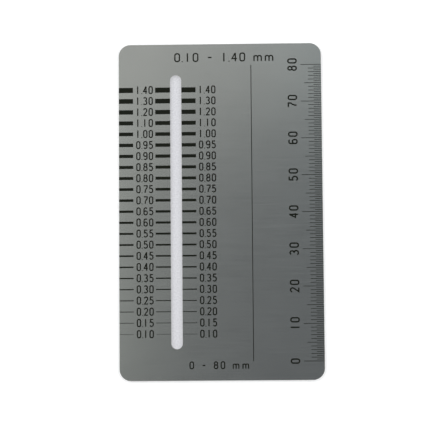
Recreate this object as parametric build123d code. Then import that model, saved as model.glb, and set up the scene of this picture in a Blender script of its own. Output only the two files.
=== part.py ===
from build123d import *

import os

# Crack width gauge: a flat stainless card, modelled lying on its underside.
# +X runs towards the ruled edge, +Y towards the widest bars, +Z out of the marked face.
# The origin is the middle of the underside. All sizes are in millimetres.

# Blank
plate_length = 91.0
plate_width = 55.0
plate_thickness = 0.5
corner_radius = 3.2
edge_break = 0.08

# Etched marks, filled flush with black enamel
etch_depth = 0.05
mark_overrun = 1.0

# Width bars: one row for each crack width, the widest at the top
bar_widths = [1.40, 1.30, 1.20, 1.10, 1.00, 0.95, 0.90, 0.85, 0.80, 0.75, 0.70, 0.65]
bar_widths += [0.60, 0.55, 0.50, 0.45, 0.40, 0.35, 0.30, 0.25, 0.20, 0.15, 0.10]
row_pitch = 3.0
edge_bar_length = 3.9
slot_left_bar_length = 4.1
slot_right_bar_length = 3.9

# Viewing slot, round at both ends, that the crack is seen through
slot_width = 3.0
slot_from_bar_edge = 15.5
slot_past_end_rows = 4.0

# Millimetre rule along the right-hand edge
rule_zero_from_bottom = 5.1
rule_clear_of_top = 2.0
rule_step = 0.5
rule_line_width = 0.15
centimetre_line_length = 5.6
half_centimetre_line_length = 4.6
millimetre_line_length = 3.6
half_millimetre_line_length = 2.1

# Long line between the bars and the rule
divider_from_rule_edge = 19.05
divider_line_width = 0.2

# Places that follow from the sizes above
bar_edge_x = -plate_width / 2
rule_edge_x = plate_width / 2
slot_x = bar_edge_x + slot_from_bar_edge
slot_left_x = slot_x - slot_width / 2
slot_right_x = slot_x + slot_width / 2
rows_span = row_pitch * (len(bar_widths) - 1)
slot_length = rows_span + 2 * slot_past_end_rows
rule_zero_y = -plate_length / 2 + rule_zero_from_bottom
rule_room = plate_length - rule_zero_from_bottom - corner_radius - rule_clear_of_top
centimetre = 10.0
rule_span = centimetre * int(rule_room / centimetre)
mark_floor_z = plate_thickness - etch_depth


def plate_blank():
    """The card before it is etched: outline, slot and broken edges."""
    outline = RectangleRounded(plate_width, plate_length, corner_radius)
    slot = Pos(slot_x, 0) * SlotOverall(slot_length, slot_width, rotation=90)
    blank = extrude(outline - slot, plate_thickness)
    faces = blank.faces().sort_by(Axis.Z)
    rims = faces[0].edges() + faces[-1].edges()
    return chamfer(rims, edge_break)


def mark(x_from, x_to, y_centre, width):
    """A straight mark across the card, from its floor to clear above the face."""
    length = x_to - x_from
    height = etch_depth + mark_overrun
    block = Box(length, width, height, align=(Align.MIN, Align.CENTER, Align.MIN))
    return Pos(x_from, y_centre, mark_floor_z) * block


def bar_rows(x_from, x_to):
    """One column of width bars, each as wide as the crack that it stands for."""
    top_row_y = rows_span / 2
    return [mark(x_from, x_to, top_row_y - row * row_pitch, width) for row, width in enumerate(bar_widths)]


def rule_line_length(step):
    """The longer lines stand at whole centimetres, half centimetres and millimetres."""
    place = step * rule_step
    for spacing, length in (
        (centimetre, centimetre_line_length),
        (centimetre / 2, half_centimetre_line_length),
        (centimetre / 10, millimetre_line_length),
    ):
        if abs(place / spacing - round(place / spacing)) < 1e-6:
            return length
    return half_millimetre_line_length


def rule_lines():
    """The rule's lines, which run out over the right-hand edge."""
    lines = []
    for step in range(round(rule_span / rule_step) + 1):
        start = rule_edge_x - rule_line_length(step)
        y = rule_zero_y + step * rule_step
        lines.append(mark(start, rule_edge_x + mark_overrun, y, rule_line_width))
    return lines


def divider():
    """The long line, as tall as the rule."""
    centre_x = rule_edge_x - divider_from_rule_edge
    start = centre_x - divider_line_width / 2
    end = centre_x + divider_line_width / 2
    return [mark(start, end, rule_zero_y + rule_span / 2, rule_span)]


blank = plate_blank()
mark_tools = {
    "edge_width_bars": bar_rows(bar_edge_x - mark_overrun, bar_edge_x + edge_bar_length),
    "slot_left_width_bars": bar_rows(slot_left_x - slot_left_bar_length, slot_x),
    "slot_right_width_bars": bar_rows(slot_x, slot_right_x + slot_right_bar_length),
    "rule_graduations": rule_lines(),
    "divider_line": divider(),
}

# Each mark is etched out of the card, and its enamel is what was etched away
all_tools = [tool for tools in mark_tools.values() for tool in tools]
parts = {"gauge_plate": blank - all_tools}
for name, tools in mark_tools.items():
    fills = [blank & tool for tool in tools]
    parts[name] = Compound(children=[solid for fill in fills for solid in fill.solids()])

os.makedirs("parts", exist_ok=True)
for name, shape in parts.items():
    shape.label = name
    export_step(shape, f"parts/{name}.step")
    print(name, len(shape.solids()), "solids", round(shape.volume, 3), "mm3")
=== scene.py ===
# %% [markdown]
# # A stainless crack width gauge
# The card comes in as finished CAD parts, in metres, lying on its back with the marked face up.
# Nothing is moved here. The steel and the enamel get their finish, and the figures are added as
# thin enamel pieces, because lettering belongs to the look of the card and not to its construction.

# %% Load the card
import math
from functools import lru_cache

import bpy
from mathutils import Euler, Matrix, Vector
from mathutils.geometry import delaunay_2d_cdt


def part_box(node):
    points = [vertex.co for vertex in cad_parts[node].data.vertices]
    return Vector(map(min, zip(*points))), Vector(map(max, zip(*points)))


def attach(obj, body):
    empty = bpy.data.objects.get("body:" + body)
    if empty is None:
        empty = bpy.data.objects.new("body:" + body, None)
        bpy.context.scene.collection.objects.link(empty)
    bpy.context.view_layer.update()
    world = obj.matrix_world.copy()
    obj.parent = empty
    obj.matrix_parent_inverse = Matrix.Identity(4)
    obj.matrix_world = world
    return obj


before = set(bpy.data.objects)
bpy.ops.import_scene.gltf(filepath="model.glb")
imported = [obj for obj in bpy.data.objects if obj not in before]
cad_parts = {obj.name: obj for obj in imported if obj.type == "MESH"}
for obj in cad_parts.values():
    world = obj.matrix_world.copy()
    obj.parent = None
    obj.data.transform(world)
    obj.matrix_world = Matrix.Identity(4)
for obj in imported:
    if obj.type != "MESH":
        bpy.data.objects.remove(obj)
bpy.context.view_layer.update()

# %% [markdown]
# ## Sizes
# A maker of rulers thinks in millimetres, and Blender here works in metres, so one constant turns one
# into the other. The places that matter are read from the parts: the face that carries the marks, and
# the slot and the rule that the figures line up with.

# %% Read the places that the figures line up with
MM = 0.001
face_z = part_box("gauge_plate")[1].z / MM
card_low, card_high = (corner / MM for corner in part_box("gauge_plate"))
rule_low, rule_high = (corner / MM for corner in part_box("rule_graduations"))
edge_bars_end_x = (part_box("edge_width_bars")[1] / MM).x
slot_bars_end_x = (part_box("slot_right_width_bars")[1] / MM).x
print("marked face at", round(face_z, 3), "mm")

# %% [markdown]
# ## Camera
# The picture was taken from almost straight above with a long lens, a little below the middle of the
# card, so its far end is hardly narrower. A position and three turns fix such a view. The focal length
# follows from how much the card's sides draw together.

# %% Set the camera
camera_place = (5.108, -24.920, 351.047)  # millimetres
camera_turn = (3.878, 1.124, -0.443)  # degrees
focal_length = 109.2
sensor_width = 36.0

camera_data = bpy.data.cameras.new("camera")
camera_data.sensor_width = sensor_width
camera_data.lens = focal_length
camera = bpy.data.objects.new("camera", camera_data)
camera.location = Vector(camera_place) * MM
camera.rotation_euler = Euler([math.radians(turn) for turn in camera_turn])
bpy.context.scene.collection.objects.link(camera)
bpy.context.scene.camera = camera
bpy.context.scene.view_settings.view_transform = "Standard"
print("camera is", round(camera_place[2] - face_z), "mm above the card")

# %% [markdown]
# ## Helpers for materials
# Colours are written as the hex values that a colour picker shows. The shader wants linear light, so
# one function converts them. A second one adds a node, with its settings and its sockets in one call:
# a socket takes either a plain value or the output of another node. A third one starts a material with
# nothing in it but its output.

# %% Colour and node helpers
def linear(hex_colour):
    """The linear RGBA of an sRGB colour such as #8F908D."""
    channels = [int(hex_colour[place:place + 2], 16) / 255 for place in (1, 3, 5)]
    light = [c / 12.92 if c <= 0.04045 else ((c + 0.055) / 1.055) ** 2.4 for c in channels]
    return (*light, 1.0)


def add_node(tree, kind, sockets, **settings):
    """Adds a node. Each socket takes a plain value or another node's output."""
    node = tree.nodes.new(kind)
    for name, value in settings.items():
        setattr(node, name, value)
    for name, value in sockets.items():
        if isinstance(value, bpy.types.NodeSocket):
            tree.links.new(value, node.inputs[name])
        else:
            node.inputs[name].default_value = value
    return node


def new_material(name):
    """An empty node material and its output node."""
    material = bpy.data.materials.new(name)
    material.use_nodes = True
    material.node_tree.nodes.clear()
    output = add_node(material.node_tree, "ShaderNodeOutputMaterial", {})
    return material, material.node_tree, output


print("mid grey is", [round(channel, 3) for channel in linear("#808080")[:3]])

# %% [markdown]
# ## A glow for the eye
# The card lies on a white table, which the camera sees as plain white apart from the card's shadow.
# Stronger lamps could do that too, but they would wash out the enamel. Instead the table adds a little
# light of its own, only for the rays from the camera, from a reflection or through glass. So metal
# mirrors the same white, and the glow puts no light on the card's paint.

# %% Make a surface glow where it is seen
def seen_directly(tree):
    """1 for rays from the camera, from a reflection or through glass, and otherwise 0."""
    path = add_node(tree, "ShaderNodeLightPath", {})
    first = add_node(
        tree, "ShaderNodeMath", {0: path.outputs["Is Camera Ray"], 1: path.outputs["Is Glossy Ray"]},
        operation="MAXIMUM",
    )
    both = add_node(
        tree, "ShaderNodeMath", {0: first.outputs[0], 1: path.outputs["Is Transmission Ray"]},
        operation="MAXIMUM",
    )
    return both.outputs[0]


def glowing_where_seen(tree, surface, strength):
    """A surface with a little light of its own where it is seen, which makes its shadows softer."""
    seen = add_node(tree, "ShaderNodeMath", {0: seen_directly(tree), 1: strength}, operation="MULTIPLY")
    glow = add_node(tree, "ShaderNodeEmission", {"Color": linear("#FFFFFF"), "Strength": seen.outputs[0]})
    return add_node(tree, "ShaderNodeAddShader", {0: surface, 1: glow.outputs[0]}).outputs[0]


print("rays that see the glow: camera, glossy and transmission")

# %% [markdown]
# ## Table top
# The table is white laminate, matt and even. It glows more further out, where the lamps hardly reach,
# so a low view shows no grey horizon. It lies a little below the card's underside, because two faces in
# one plane would flicker.

# %% Lay the table top
table_reach = 1500.0
table_drop = 0.04
near_glow, far_glow = 0.4, 1.0
glow_rises_from, glow_rises_to = 150.0, 600.0


def flat_sheet(name, low, high, z):
    """A rectangle in millimetres, as a stage piece."""
    corners = [(low[0], low[1]), (high[0], low[1]), (high[0], high[1]), (low[0], high[1])]
    mesh = bpy.data.meshes.new(name)
    mesh.from_pydata([(x * MM, y * MM, z * MM) for x, y in corners], [], [(0, 1, 2, 3)])
    sheet = bpy.data.objects.new(name, mesh)
    bpy.context.scene.collection.objects.link(sheet)
    return sheet


def white_table():
    """White laminate, whose glow rises with the distance from the card."""
    material, tree, output = new_material("white_laminate")
    plain = add_node(tree, "ShaderNodeBsdfDiffuse", {"Color": linear("#E6E6E6")})
    place = add_node(tree, "ShaderNodeTexCoord", {})
    away = add_node(tree, "ShaderNodeVectorMath", {0: place.outputs["Object"]}, operation="LENGTH")
    glow = add_node(
        tree, "ShaderNodeMapRange",
        {
            "Value": away.outputs["Value"],
            "From Min": glow_rises_from * MM,
            "From Max": glow_rises_to * MM,
            "To Min": near_glow,
            "To Max": far_glow,
        },
    )
    tree.links.new(glowing_where_seen(tree, plain.outputs[0], glow.outputs[0]), output.inputs["Surface"])
    return material


table = flat_sheet("table_top", (-table_reach, -table_reach), (table_reach, table_reach), -table_drop)
table.data.materials.append(white_table())
print("table reaches", round(table_reach), "mm each way")

# %% [markdown]
# ## Backing paper
# Under the slot lies a sheet of uncoated paper, a very pale blue grey. It is smaller than the card, so
# it shows only through the slot. What the eye sees of such paper is a soft mottle, some 0.4 mm across,
# where its fibres lie thicker or thinner. A diffuse shader is enough, because it has no gloss at all.
# On top of that the paper has a painted glow where it is seen. The glow lightens the shade that the
# slot's walls cast on it.

# %% Lay the paper
paper_drop = 0.02
paper_inset = 4.0
# Painted light: the paper glows where it is seen, which lightens the shade cast by the slot's walls.
paper_painted_fill_light = 0.33
fibre_size = 0.4


def pale_paper():
    """Uncoated paper, very slightly blue, with the soft mottle of its fibres and a painted glow that lightens
    the slot's shade.
    """
    material, tree, output = new_material("pale_grey_paper")
    place = add_node(tree, "ShaderNodeTexCoord", {})
    fibres = add_node(
        tree, "ShaderNodeTexNoise",
        {"Vector": place.outputs["Object"], "Scale": 1 / (fibre_size * MM), "Detail": 3.0},
    )
    tint = add_node(tree, "ShaderNodeValToRGB", {"Fac": fibres.outputs["Fac"]})
    tint.color_ramp.elements[0].position = 0.35
    tint.color_ramp.elements[0].color = linear("#A4A4AB")
    tint.color_ramp.elements[1].position = 0.65
    tint.color_ramp.elements[1].color = linear("#BABAC0")
    paper = add_node(tree, "ShaderNodeBsdfDiffuse", {"Color": tint.outputs["Color"]})
    # The glow added here is painted light, which lightens the shade next to the slot's walls.
    tree.links.new(glowing_where_seen(tree, paper.outputs[0], paper_painted_fill_light), output.inputs["Surface"])
    return material


paper_low = card_low + Vector((paper_inset, paper_inset, 0))
paper_high = card_high - Vector((paper_inset, paper_inset, 0))
paper = flat_sheet("backing_paper", paper_low, paper_high, -paper_drop)
paper.data.materials.append(pale_paper())
print("paper in mm:", [round(side, 1) for side in (paper_high - paper_low)[:2]])

# %% [markdown]
# ## Lamps
# Flat steel shows whatever lies on the other side of its mirror direction, so for it a lamp is a bright
# patch, and for paper and paint it is only light. Two broad soft lamps light the table, the paper and
# the enamel. A low view would show them in the steel as burnt patches, so they are hidden from
# reflections. Three faint ones hang near the camera: beyond the top edge, to the left and at the upper
# right. They give the steel its uneven tone from above, which is lightest at the upper left corner.

# %% Hang the lamps
broad_distance, broad_side = 900.0, 600.0
sheen_distance, sheen_side = 700.0, 300.0


def soft_lamp(name, turn, tilt, distance, side, brightness, hex_colour, mirrored=True):
    """A square lamp that faces the card, turned from +X and tilted from upright, in degrees.

    A brightness of 1 shows white paper as white.
    """
    data = bpy.data.lights.new(name, "AREA")
    data.shape = "SQUARE"
    data.size = side * MM
    data.color = linear(hex_colour)[:3]
    turn, tilt = math.radians(turn), math.radians(tilt)
    towards = Vector((math.sin(tilt) * math.cos(turn), math.sin(tilt) * math.sin(turn), math.cos(tilt)))
    metres = distance * MM
    data.energy = brightness * math.pi ** 2 * metres ** 2 / towards.z
    lamp = bpy.data.objects.new(name, data)
    lamp.location = towards * metres
    lamp.rotation_euler = towards.to_track_quat("Z", "Y").to_euler()
    lamp.visible_glossy = mirrored
    bpy.context.scene.collection.objects.link(lamp)
    print(name, round(data.energy, 2), "W")


soft_lamp("left_lamp", 150, 55, broad_distance, broad_side, 0.25, "#FFFFFF", mirrored=False)
soft_lamp("right_lamp", 20, 58, broad_distance, broad_side, 0.19, "#FFFFFF", mirrored=False)
soft_lamp("top_sheen_lamp", 101.3, 22.6, sheen_distance, sheen_side, 0.0251, "#FFFFF8")
soft_lamp("left_sheen_lamp", 176.3, 19.8, sheen_distance, sheen_side, 0.028, "#FBFFF2")
soft_lamp("right_sheen_lamp", 38.9, 27.8, sheen_distance, sheen_side, 0.0185, "#CBF2FF")

# %% [markdown]
# ## Room
# The room has white walls and a dim grey ceiling. From above the card mirrors the ceiling, so it looks
# dark grey although the table round it is white. A low view shows the walls, both behind the table and
# in the steel. An image of a studio could do this, but a colour ramp over the height of each direction
# is enough: 0 is the horizon and 1 is straight up.

# %% Paint the walls and the ceiling
wall_colour, wall_top = "#FFFFFF", 0.3
ceiling_colour, ceiling_edge = "#737679", 0.85
world = bpy.data.worlds.new("room")
world.use_nodes = True
world.node_tree.nodes.clear()
direction = add_node(world.node_tree, "ShaderNodeTexCoord", {})
height = add_node(world.node_tree, "ShaderNodeSeparateXYZ", {"Vector": direction.outputs["Generated"]})
room = add_node(world.node_tree, "ShaderNodeValToRGB", {"Fac": height.outputs["Z"]})
room.color_ramp.interpolation = "EASE"
room.color_ramp.elements[0].position = wall_top
room.color_ramp.elements[0].color = linear(wall_colour)
room.color_ramp.elements[1].position = ceiling_edge
room.color_ramp.elements[1].color = linear(ceiling_colour)
background = add_node(
    world.node_tree, "ShaderNodeBackground", {"Color": room.outputs["Color"], "Strength": 1.0}
)
add_node(world.node_tree, "ShaderNodeOutputWorld", {"Surface": background.outputs[0]})
bpy.context.scene.world = world
print("walls", wall_colour, "and ceiling", ceiling_colour)

# %% [markdown]
# ## Steel
# The card is cold rolled stainless steel with a fine hairline, then dulled so that it can be read
# without glare. That gives the eye a wide soft sheen with no sharp reflection. A metal needs no
# diffuse colour: metallic is 1, the colour is that of its reflection, and roughness is about 0.25. The
# hairlines of such a finish are some 0.05 mm wide. They are drawn 0.2 mm wide, since finer ones would
# not show at all at this distance.

# %% Make the steel
def stretched(tree, length, width):
    """Object coordinates scaled so that one unit of noise is length by width, in millimetres."""
    place = add_node(tree, "ShaderNodeTexCoord", {})
    scale = (1 / (length * MM), 1 / (width * MM), 1 / (width * MM))
    return add_node(tree, "ShaderNodeMapping", {"Vector": place.outputs["Object"], "Scale": scale}).outputs[0]


def spread(tree, value, low, high):
    """Noise, which keeps to the middle of 0 to 1, as a value from low to high."""
    return add_node(
        tree, "ShaderNodeMapRange",
        {"Value": value, "From Min": 0.25, "From Max": 0.75, "To Min": low, "To Max": high},
    ).outputs[0]


def dulled_hairline_steel():
    """Stainless steel with fine hairlines across the card, dulled against glare."""
    material, tree, output = new_material("dulled_hairline_stainless_steel")
    hairline_length = 9.0
    hairline_width = 0.2
    cloud_size = 12.0
    hairlines = add_node(
        tree, "ShaderNodeTexNoise",
        {"Vector": stretched(tree, hairline_length, hairline_width), "Scale": 1.0, "Detail": 4.0},
    ).outputs["Fac"]
    clouds = add_node(
        tree, "ShaderNodeTexNoise",
        {"Vector": stretched(tree, cloud_size, cloud_size), "Scale": 1.0, "Detail": 2.0},
    ).outputs["Fac"]
    tone = add_node(tree, "ShaderNodeMath", {0: hairlines, 1: clouds}, operation="ADD")
    half_tone = add_node(tree, "ShaderNodeMath", {0: tone.outputs[0], 1: 0.5}, operation="MULTIPLY")
    tint = add_node(tree, "ShaderNodeValToRGB", {"Fac": half_tone.outputs[0]})
    tint.color_ramp.elements[0].position = 0.3
    tint.color_ramp.elements[0].color = linear("#BCBDBB")
    tint.color_ramp.elements[1].position = 0.7
    tint.color_ramp.elements[1].color = linear("#C4C5C3")
    bump = add_node(
        tree, "ShaderNodeBump", {"Height": hairlines, "Strength": 0.12, "Distance": 0.004 * MM}
    )
    steel = add_node(
        tree, "ShaderNodeBsdfPrincipled",
        {
            "Base Color": tint.outputs["Color"],
            "Metallic": 1.0,
            "Roughness": spread(tree, hairlines, 0.23, 0.27),
            "Normal": bump.outputs[0],
        },
    )
    tree.links.new(steel.outputs[0], output.inputs["Surface"])
    return material


steel = dulled_hairline_steel()
print("steel nodes:", len(steel.node_tree.nodes))

# %% [markdown]
# ## Enamel
# The lines are etched into the steel, filled with black enamel and baked, and the face is wiped flat.
# Such a fill is nearly matt and a little warm, with a grain of some 0.15 mm from the pigment and the
# etched floor. It is not a metal, so it has a plain colour under a weak reflection. Its resin would have
# an IOR of 1.45 to 1.5. The pigment breaks up the surface, so a specular level of 0.25 halves the
# reflection, and the roughness is a little under 0.4.

# %% Make the enamel
def baked_black_enamel():
    """Black enamel, baked into etched lines and wiped level with the face."""
    material, tree, output = new_material("baked_black_enamel")
    grain_size = 0.15
    grain = add_node(
        tree, "ShaderNodeTexNoise",
        {"Vector": stretched(tree, grain_size, grain_size), "Scale": 1.0, "Detail": 2.0},
    ).outputs["Fac"]
    tint = add_node(tree, "ShaderNodeValToRGB", {"Fac": grain})
    tint.color_ramp.elements[0].color = linear("#0F1209")
    tint.color_ramp.elements[1].color = linear("#15180F")
    bump = add_node(tree, "ShaderNodeBump", {"Height": grain, "Strength": 0.1, "Distance": 0.004 * MM})
    enamel = add_node(
        tree, "ShaderNodeBsdfPrincipled",
        {
            "Base Color": tint.outputs["Color"],
            "Metallic": 0.0,
            "IOR": 1.45,
            "Specular IOR Level": 0.25,
            "Roughness": spread(tree, grain, 0.34, 0.42),
            "Normal": bump.outputs[0],
        },
    )
    tree.links.new(enamel.outputs[0], output.inputs["Surface"])
    return material


enamel = baked_black_enamel()
print("enamel nodes:", len(enamel.node_tree.nodes))

# %% [markdown]
# ## Finishes on the card's own parts
# The plate is steel. All the other CAD parts, the bars, the rule and the long line, are enamel fills.

# %% Finish the card's own parts
for name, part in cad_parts.items():
    part.data.materials.clear()
    part.data.materials.append(steel if name == "gauge_plate" else enamel)
print("finished:", sorted(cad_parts))

# %% [markdown]
# ## The engraver's figures
# Figures on such a tool are drawn like an engraver cuts them: a line of even width that follows a
# skeleton. A font object would be quicker, but its figures would not have these plain, narrow forms.
# So each figure is a few strokes on a grid one unit wide and two units high. Round parts are arcs.

# %% Draw the skeleton of each figure
ARC_STEP = 18.0


def arc(x, y, radius_x, radius_y, start, end):
    """Points on an oval round x, y, from the start angle to the end angle in degrees."""
    steps = max(1, round(abs(end - start) / ARC_STEP))
    angles = [math.radians(start + (end - start) * step / steps) for step in range(steps + 1)]
    return [(x + radius_x * math.cos(angle), y + radius_y * math.sin(angle)) for angle in angles]


def rounded_loop(low_x, low_y, high_x, high_y, radius):
    """A closed upright loop with round corners."""
    left, right = low_x + radius, high_x - radius
    bottom, top = low_y + radius, high_y - radius
    points = arc(right, bottom, radius, radius, -90, 0) + arc(right, top, radius, radius, 0, 90)
    points += arc(left, top, radius, radius, 90, 180) + arc(left, bottom, radius, radius, 180, 270)
    return points + points[:1]


def turned(strokes):
    """Strokes turned half round, which makes a nine of a six."""
    return [[(1 - x, 2 - y) for x, y in stroke] for stroke in strokes]


SIX = [rounded_loop(0, 0, 1, 1.12, 0.46), [(0, 0.5)] + arc(0.52, 1.45, 0.52, 0.55, 180, 40)]
FIGURES = {
    "0": [rounded_loop(0, 0, 1, 2, 0.45)],
    "1": [[(0.5, -0.08), (0.5, 2.08)]],
    "2": [arc(0.5, 1.48, 0.5, 0.52, 165, -35) + [(0.04, 0), (1.06, 0)]],
    "3": [arc(0.46, 1.52, 0.48, 0.48, 150, -90), arc(0.46, 0.52, 0.54, 0.52, 90, -150)],
    "4": [[(0.76, -0.08), (0.76, 2.08)], [(0.7, 1.98), (0.02, 0.6), (1.1, 0.6)]],
    "5": [[(0.98, 2), (0.16, 2), (0.1, 1.12)] + arc(0.46, 0.62, 0.54, 0.62, 125, -150)],
    "6": SIX,
    "7": [[(-0.06, 2), (0.98, 2)] + arc(1.34, 0, 0.94, 1.55, 112, 180)],
    "8": [rounded_loop(0.06, 1.06, 0.94, 2, 0.42), rounded_loop(0, 0, 1, 1.06, 0.46)],
    "9": turned(SIX),
    ".": [[(0.5, -0.14), (0.5, 0.04)]],
    "-": [[(0.1, 0.95), (0.9, 0.95)]],
    "m": [
        [(-0.3, -0.08), (-0.3, 1.3)],
        arc(0.1, 0.9, 0.4, 0.4, 180, 0) + [(0.5, -0.08)],
        arc(0.9, 0.9, 0.4, 0.4, 180, 0) + [(1.3, -0.08)],
    ],
}
print("figures drawn:", "".join(sorted(FIGURES)).strip())

# %% [markdown]
# ## Strokes with a width
# A stroke gets its width by stepping half of it to either side, along the line that halves each corner,
# so its edges stay parallel. At a sharp corner that line would run far out, so its length is limited.
# A curve with a bevel could draw strokes too, but its ends and corners are harder to keep square.

# %% Widen a stroke
SHARPEST_CORNER = 0.55


def side_steps(points):
    """For each point, the step to its left that keeps both edges of the stroke parallel to it."""
    closed = points[0] == points[-1]
    steps = []
    for place, point in enumerate(points):
        before = points[place - 1] if place else (points[-2] if closed else None)
        after = points[place + 1] if place + 1 < len(points) else (points[1] if closed else None)
        sides = []
        for start, end in ((before, point), (point, after)):
            if start and end:
                along = (Vector(end) - Vector(start)).normalized()
                sides.append(Vector((-along.y, along.x)))
        middle = sum(sides, Vector((0, 0))).normalized()
        steps.append(middle / max(middle.dot(sides[0]), SHARPEST_CORNER))
    return steps


def stroke_faces(points, line_width):
    """The corners of the four-sided pieces that a stroke is made of, counter-clockwise."""
    half = line_width / 2
    steps = side_steps(points)
    left = [Vector(point) + step * half for point, step in zip(points, steps)]
    right = [Vector(point) - step * half for point, step in zip(points, steps)]
    return [(right[k], right[k + 1], left[k + 1], left[k]) for k in range(len(points) - 1)]


print("faces in a nought:", len(stroke_faces(FIGURES["0"][0], 0.1)))

# %% [markdown]
# ## Strokes melted into one shape
# Where strokes cross, as in a four, their outlines have to melt into one. A boolean could do it, but for
# flat shapes Blender's Delaunay function is quicker and exact: it returns triangles that end at the
# outlines of all the strokes. Those that lie in no stroke, such as the inside of a nought, are dropped.

# %% Melt the strokes of a figure
def covers(face, point):
    """Whether a point lies in a face, whose corners run counter-clockwise."""
    return all((end - start).cross(point - start) >= 0 for start, end in zip(face, face[1:] + face[:1]))


def melt(faces):
    """The triangles that cover all the faces, with nothing counted twice."""
    corners = [corner for face in faces for corner in face]
    rings = [tuple(range(4 * k, 4 * k + 4)) for k in range(len(faces))]
    points, _, triangles, *_ = delaunay_2d_cdt(corners, [], rings, 1, 1e-4)
    middles = [(points[a] + points[b] + points[c]) / 3 for a, b, c in triangles]
    inside = [any(covers(face, middle) for face in faces) for middle in middles]
    return points, [tuple(triangle) for triangle, keep in zip(triangles, inside) if keep]


four_faces = [face for stroke in FIGURES["4"] for face in stroke_faces(stroke, 0.3)]
print("triangles in a four:", len(melt(four_faces)[1]))

# %% [markdown]
# ## Flat shapes raised into enamel
# A flat shape becomes a thin closed solid: its triangles once on top, once below with their corners in
# reverse order, and a wall along each edge that only one triangle has. The enamel stands a hair proud of
# the face, so that it shows, and reaches as far into the steel, so that no gap shows from the side.

# %% Raise a flat shape
enamel_height = 0.01
enamel_depth = 0.01


def rim_of(triangles):
    """The edges that only one triangle has."""
    directed = {(t[k], t[(k + 1) % 3]) for t in triangles for k in range(3)}
    return sorted((a, b) for a, b in directed if (b, a) not in directed)


def enamel_piece(name, shapes):
    """One thin piece of enamel on the marked face, made of flat shapes in millimetres."""
    vertices, polygons = [], []
    for points, triangles in shapes:
        top = len(vertices)
        under = top + len(points)
        vertices += [(x * MM, y * MM, (face_z + enamel_height) * MM) for x, y in points]
        vertices += [(x * MM, y * MM, (face_z - enamel_depth) * MM) for x, y in points]
        polygons += [(a + top, b + top, c + top) for a, b, c in triangles]
        polygons += [(c + under, b + under, a + under) for a, b, c in triangles]
        polygons += [(a + top, a + under, b + under, b + top) for a, b in rim_of(triangles)]
    mesh = bpy.data.meshes.new(name)
    mesh.from_pydata(vertices, [], polygons)
    mesh.materials.append(enamel)
    piece = bpy.data.objects.new(name, mesh)
    bpy.context.scene.collection.objects.link(piece)
    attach(piece, "root")
    print(name, len(polygons), "faces, mended" if mesh.validate() else "faces")
    return piece


# %% [markdown]
# ## Setting the figures in lines
# A figure has an outer height and width, measured over the ink, and a pitch from one to the next. The
# point takes less room than a figure. A line of figures can run across the card, or up it, as on a
# rule that is read from its edge.

# %% Set a line of figures
ROOM = {".": 0.27, "-": 1.1, " ": 0.7, "m": 1.4}


@lru_cache(maxsize=None)
def sign_shape(sign, width, height, line_width):
    """The points and triangles of one sign round its own middle."""
    faces = []
    for stroke in FIGURES[sign]:
        across, up = width - line_width, height - line_width
        faces += stroke_faces([((x - 0.5) * across, (y / 2 - 0.5) * up) for x, y in stroke], line_width)
    return melt(faces)


def set_line(text, centre, width, height, line_width, pitch, upwards=False, lean=0.0):
    """The shapes of a line of signs, centred on a point. Upwards, it reads from the right."""
    rooms = [ROOM.get(sign, 1.0) * pitch for sign in text]
    along = -sum(rooms) / 2
    shapes = []
    for sign, room in zip(text, rooms):
        shift = along + room / 2 - (lean if sign == "1" else 0.0)
        along += room
        if sign == " ":
            continue
        points, triangles = sign_shape(sign, width, height, line_width)
        if upwards:
            placed = [(centre[0] - y, centre[1] + x + shift) for x, y in points]
        else:
            placed = [(centre[0] + x + shift, centre[1] + y) for x, y in points]
        shapes.append((placed, triangles))
    return shapes


# %% [markdown]
# ## The widths beside the bars
# Each row of bars is named with the width of its bars, once beside the left edge and once beside the
# slot. The rows have an even pitch. The upper five step by a tenth of a millimetre and the lower ones
# by a twentieth, so the names follow from a rule and aren't typed in one by one. In these columns a one
# stands a little to the left of the middle of its room.

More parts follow.
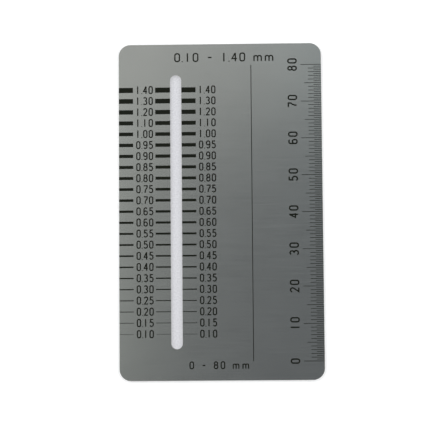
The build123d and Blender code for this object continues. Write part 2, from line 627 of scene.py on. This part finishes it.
# %% Name the bars
row_pitch = 3.0
coarse_widths = [1.4 - 0.1 * row for row in range(4)]
fine_widths = [1.0 - 0.05 * row for row in range(19)]
bar_names = [f"{width:.2f}" for width in coarse_widths + fine_widths]
top_row_y = row_pitch * (len(bar_names) - 1) / 2
gap_after_bars = 3.1
name_width, name_height = 1.2, 2.2
name_line, name_pitch = 0.33, 1.5
name_lift = 0.05
one_lean = 0.12


def bar_name_column(name, bars_end_x):
    """The names of all rows, just to the right of the bars that end at the given x."""
    shapes = []
    for row, text in enumerate(bar_names):
        centre = (bars_end_x + gap_after_bars, top_row_y - row * row_pitch + name_lift)
        shapes += set_line(text, centre, name_width, name_height, name_line, name_pitch, lean=one_lean)
    return enamel_piece(name, shapes)


bar_name_column("edge_bar_figures", edge_bars_end_x)
bar_name_column("slot_bar_figures", slot_bars_end_x)
print(len(bar_names), "rows, from", bar_names[0], "to", bar_names[-1])

# %% [markdown]
# ## The tens along the rule
# The rule is read with its edge towards you, so its figures stand with their tops to the left. Each
# number is centred on its line.

# %% Number the rule
rule_line_width = 0.15
rule_zero_y = rule_low.y + rule_line_width / 2
rule_span = rule_high.y - rule_low.y - rule_line_width
ten_width, ten_height = 1.45, 2.6
ten_line, ten_pitch = 0.385, 2.0
tens_from_edge = 7.88
tens_x = card_high.x - tens_from_edge

tens_shapes = []
for tens in range(0, round(rule_span) + 1, 10):
    tens_shapes += set_line(
        str(tens), (tens_x, rule_zero_y + tens), ten_width, ten_height, ten_line, ten_pitch, upwards=True
    )
enamel_piece("rule_figures", tens_shapes)

# %% [markdown]
# ## The ranges
# Above the slot such a card says what it measures, and below the bars how long its rule is. Plain
# numbers with their unit do that here.

# %% Write the two ranges
head_centre = (1.15, 41.85)
head_width, head_height = 1.6, 2.5
head_line, head_pitch = 0.36, 2.2
foot_centre = (-0.7, -41.35)
foot_width, foot_height = 1.25, 2.1
foot_line, foot_pitch = 0.32, 1.85

head_text = f"{bar_names[-1]} - {bar_names[0]} mm"
foot_text = f"0 - {rule_span:.0f} mm"
head_shapes = set_line(head_text, head_centre, head_width, head_height, head_line, head_pitch)
foot_shapes = set_line(foot_text, foot_centre, foot_width, foot_height, foot_line, foot_pitch)
enamel_piece("bar_range", head_shapes)
enamel_piece("rule_range", foot_shapes)
